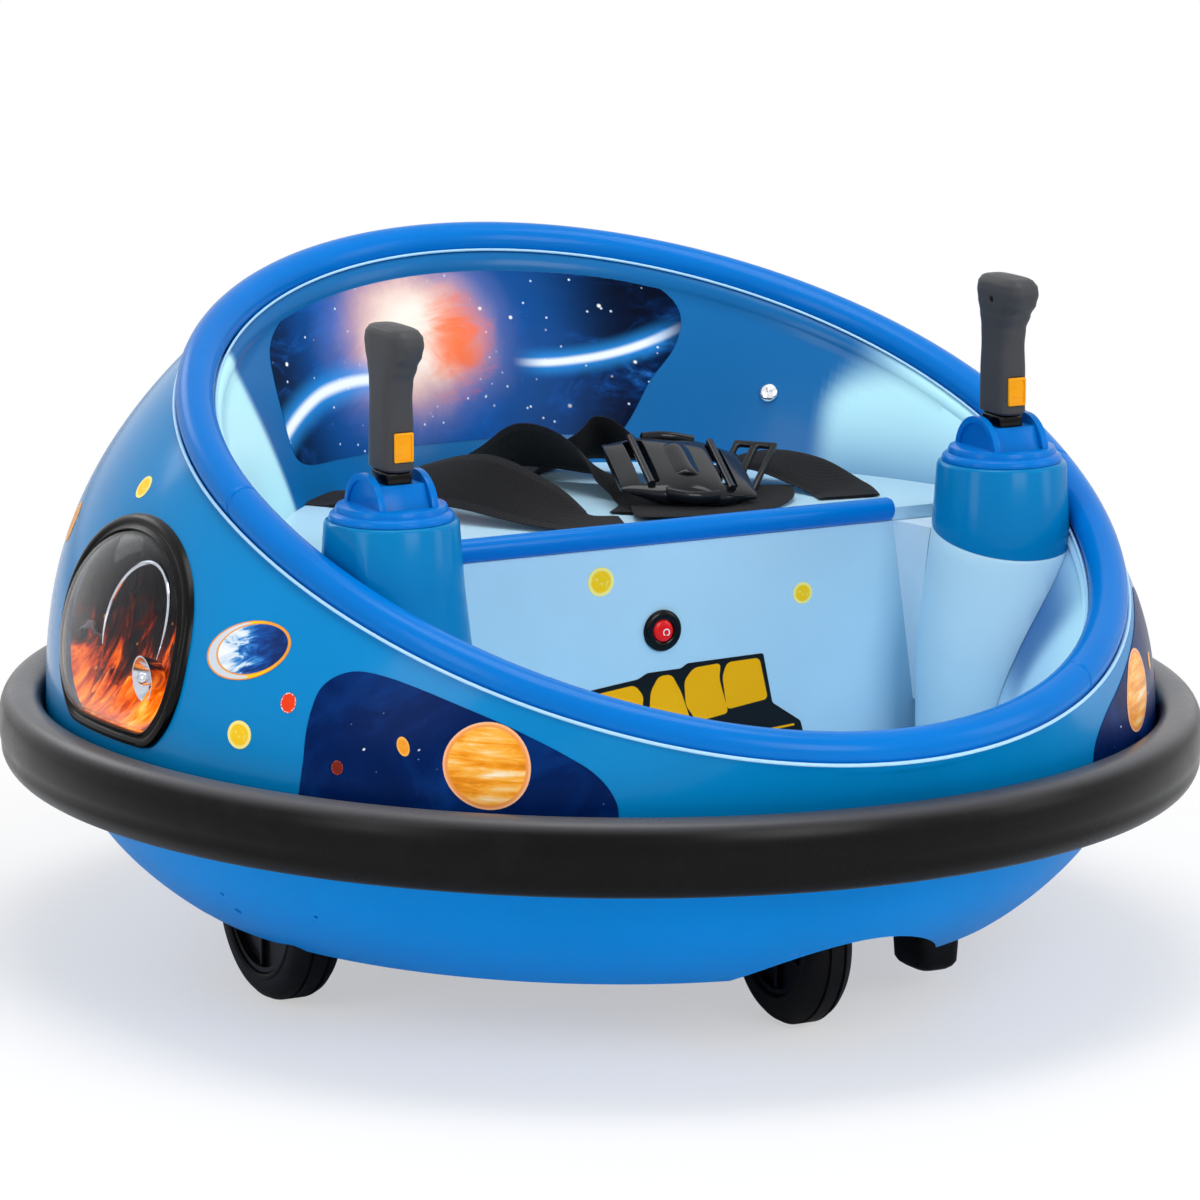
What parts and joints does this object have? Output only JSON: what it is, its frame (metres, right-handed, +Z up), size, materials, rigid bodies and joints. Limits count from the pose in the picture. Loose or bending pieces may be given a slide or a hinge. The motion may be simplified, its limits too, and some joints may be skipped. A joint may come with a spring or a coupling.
{
  "type": "ride-on bumper car",
  "caption": "Small round electric ride-on bumper car with a rubber bumper ring, a reclined open cockpit, tilting joysticks, driven side wheels and swivelling casters.",
  "frame": {"origin": "on the ground under the centre of the bumper ring", "axes": "+X to the front of the car, +Y to the driver's left, +Z up"},
  "size_m": [0.706, 0.66, 0.3842],
  "materials": {
    "body_blue": "glossy moulded",
    "hull_blue": "glossy moulded",
    "deep_blue": "semi-gloss moulded",
    "pale_blue": "semi-gloss moulded",
    "bumper_rubber": "satin",
    "tyre_rubber": "satin",
    "black_plastic": "fine grained",
    "grey_grip": "fine grained",
    "amber_button": "satin",
    "red_rocker": "glossy",
    "clear_lens": "clear, polished",
    "steel_axle": "brushed",
    "webbing": "woven strap"
  },
  "bodies": {
    "body": {"lower_hull": "hull_blue", "upper_shell": "body_blue", "cockpit_tub": "body_blue", "console_pod_left": "body_blue", "console_pod_right": "body_blue", "bumper_ring": "bumper_rubber", "seat_pan": "pale_blue", "seat_apron": "pale_blue", "pod_pedestal_left": "pale_blue", "pod_pedestal_right": "pale_blue", "seat_edge_roll": "deep_blue", "rim_trim_front": "deep_blue", "rim_trim_left": "deep_blue", "rim_trim_rear": "deep_blue", "stick_base_left": "deep_blue", "stick_base_right": "deep_blue", "headlamp_housing_left": "black_plastic", "headlamp_bezel_left": "black_plastic", "headlamp_housing_right": "black_plastic", "headlamp_bezel_right": "black_plastic", "headlamp_lens_left": "clear_lens", "headlamp_lens_right": "clear_lens", "drive_gearbox_left": "black_plastic", "drive_gearbox_right": "black_plastic", "caster_mount_front": "black_plastic", "caster_mount_rear": "black_plastic", "power_switch_bezel": "black_plastic", "battery": "black_plastic", "skid_foot": "black_plastic", "harness_buckle": "black_plastic", "power_switch_rocker": "red_rocker", "harness_strap_right": "webbing", "harness_strap_left": "webbing"},
    "joystick_left": {"stick_drum_left": "deep_blue", "stick_neck_left": "black_plastic", "stick_handle_left": "grey_grip", "stick_button_left": "amber_button"},
    "joystick_right": {"stick_drum_right": "deep_blue", "stick_neck_right": "black_plastic", "stick_handle_right": "grey_grip", "stick_button_right": "amber_button"},
    "drive_wheel_left": {"drive_tyre_left": "tyre_rubber", "drive_hub_left": "black_plastic", "drive_axle_left": "steel_axle"},
    "drive_wheel_right": {"drive_tyre_right": "tyre_rubber", "drive_hub_right": "black_plastic", "drive_axle_right": "steel_axle"},
    "caster_fork_front": {"caster_fork_front": "black_plastic", "caster_axle_front": "steel_axle"},
    "caster_wheel_front": {"caster_tyre_front": "tyre_rubber", "caster_hub_front": "black_plastic"},
    "caster_fork_rear": {"caster_fork_rear": "black_plastic", "caster_axle_rear": "steel_axle"},
    "caster_wheel_rear": {"caster_tyre_rear": "tyre_rubber", "caster_hub_rear": "black_plastic"}
  },
  "joints": [
    {"name": "stick_tilt_left", "type": "hinge", "parent": "body", "child": "joystick_left", "pos_m": [0.121, 0.1883, 0.284], "axis": [0, 1, 0], "range_deg": [-20, 20], "stiffness_Nm_per_rad": 0.4},
    {"name": "stick_tilt_right", "type": "hinge", "parent": "body", "child": "joystick_right", "pos_m": [0.121, -0.1883, 0.284], "axis": [0, 1, 0], "range_deg": [-20, 20], "stiffness_Nm_per_rad": 0.4},
    {"name": "drive_spin_left", "type": "hinge", "parent": "body", "child": "drive_wheel_left", "pos_m": [0.019, 0.2065, 0.055], "axis": [0, 1, 0], "continuous": true},
    {"name": "drive_spin_right", "type": "hinge", "parent": "body", "child": "drive_wheel_right", "pos_m": [0.019, -0.2065, 0.055], "axis": [0, 1, 0], "continuous": true},
    {"name": "caster_swivel_front", "type": "hinge", "parent": "body", "child": "caster_fork_front", "pos_m": [0.183, 0.012, 0.1], "axis": [0, 0, 1], "continuous": true},
    {"name": "caster_roll_front", "type": "hinge", "parent": "caster_fork_front", "child": "caster_wheel_front", "pos_m": [0.197, 0.012, 0.049], "axis": [0, 1, 0], "continuous": true},
    {"name": "caster_swivel_rear", "type": "hinge", "parent": "body", "child": "caster_fork_rear", "pos_m": [-0.183, -0.012, 0.1], "axis": [0, 0, 1], "continuous": true},
    {"name": "caster_roll_rear", "type": "hinge", "parent": "caster_fork_rear", "child": "caster_wheel_rear", "pos_m": [-0.169, -0.012, 0.049], "axis": [0, 1, 0], "continuous": true}
  ]
}
